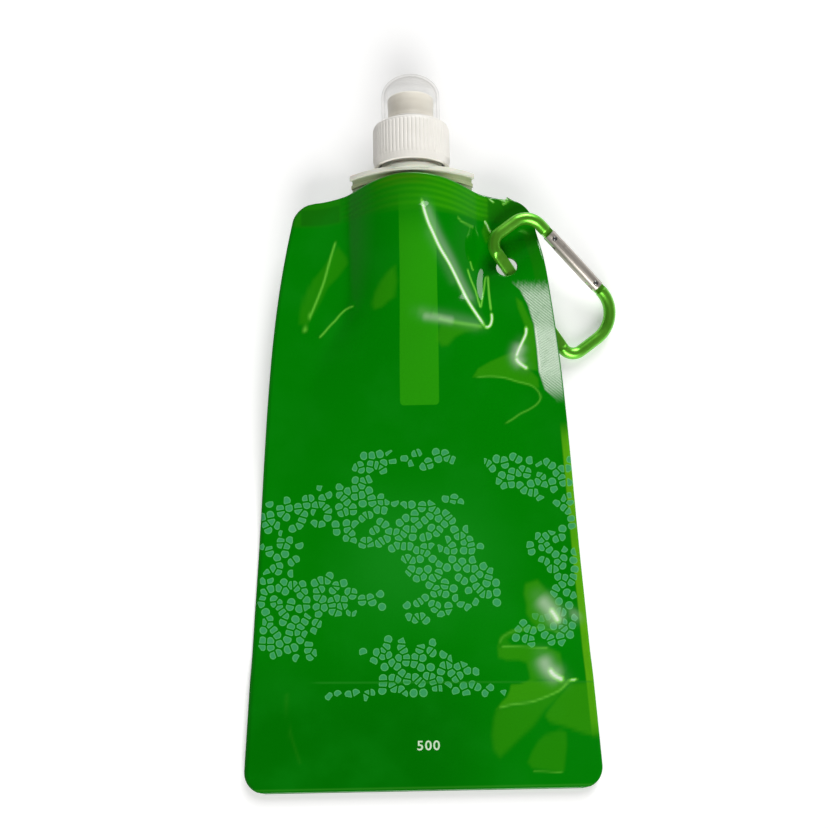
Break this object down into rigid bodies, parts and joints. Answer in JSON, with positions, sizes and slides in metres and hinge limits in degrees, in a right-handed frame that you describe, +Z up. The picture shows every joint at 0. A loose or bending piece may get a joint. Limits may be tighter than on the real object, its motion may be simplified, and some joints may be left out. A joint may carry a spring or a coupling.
{
  "type": "collapsible water bottle",
  "caption": "Flat film drinking pouch with gusseted bottom, welded spout, ribbed screw cap, push-pull nozzle under a clear dust cover, and a small carabiner in its corner.",
  "frame": {"origin": "on the surface that the empty bottle lies on, on its centre line, at the fold of its bottom gusset, 37 mm from the pouch's bottom edge", "axes": "+Y from the pouch's bottom towards the cap, +Z up out of the printed front, +X across the pouch towards the corner with the carabiner"},
  "size_m": [0.1378, 0.2596, 0.0284],
  "materials": {
    "film": "glossy translucent film",
    "fitment": "natural, slightly translucent",
    "seal": "foamed liner",
    "cap": "satin moulded",
    "nozzle": "satin moulded",
    "clear_cover": "clear moulded",
    "anodised": "bright green anodised",
    "gate_tube": "satin drawn tube",
    "steel": "drawn wire"
  },
  "bodies": {
    "bottle": {"front_film_upper": "film", "back_film_upper": "film", "spout_fitment": "fitment"},
    "pouch_lower": {"front_film_lower": "film", "back_film_lower": "film", "bottom_gusset": "film"},
    "seal": {"cap_seal": "seal"},
    "cap": {"screw_cap": "cap"},
    "nozzle": {"nozzle": "nozzle"},
    "dust_cover": {"dust_cover": "clear_cover"},
    "carabiner": {"carabiner_frame": "anodised", "gate_pivot_pin": "steel"},
    "gate": {"carabiner_gate": "gate_tube", "gate_latch_pin": "steel", "gate_spring": "steel"},
    "plunger": {"gate_plunger": "steel"}
  },
  "joints": [
    {"name": "fold", "type": "hinge", "parent": "bottle", "child": "pouch_lower", "pos_m": [0, 0.038, 0.0034], "axis": [-1, 0, 0], "range_deg": [0, 160]},
    {"name": "cap_lift", "type": "slide", "parent": "bottle", "child": "seal", "axis": [0, 1, 0], "range_m": [0, 0.0065]},
    {"name": "cap_turn", "type": "hinge", "parent": "seal", "child": "cap", "pos_m": [0, 0.2, 0.0142], "axis": [0, 1, 0], "range_deg": [0, 720]},
    {"name": "nozzle_pull", "type": "slide", "parent": "cap", "child": "nozzle", "axis": [0, 1, 0], "range_m": [0, 0.004]},
    {"name": "dust_cover_lift", "type": "slide", "parent": "cap", "child": "dust_cover", "axis": [0, 1, 0], "range_m": [0, 0.03]},
    {"name": "carabiner_swing", "type": "hinge", "parent": "bottle", "child": "carabiner", "pos_m": [0.0339, 0.1487, 0.0142], "axis": [0, 0, 1], "range_deg": [-25, 4]},
    {"name": "gate_open", "type": "hinge", "parent": "carabiner", "child": "gate", "pos_m": [0.05131, 0.1591, 0.01363], "axis": [-0.1697, 0.2318, -0.9579], "range_deg": [0, 25], "stiffness_Nm_per_rad": 0.008, "springref_deg": -17.19},
    {"name": "plunger_slide", "type": "slide", "parent": "gate", "child": "plunger", "axis": [0.6788, -0.6772, -0.2841], "range_m": [0, 0.0009], "deforming": ["gate_spring"]}
  ],
  "couplings": [
    {"joint": "cap_lift", "follows": "cap_turn", "m_per_rad": 0.0005093},
    {"joint": "plunger_slide", "follows": "gate_open", "m_per_rad": 0.00195}
  ]
}
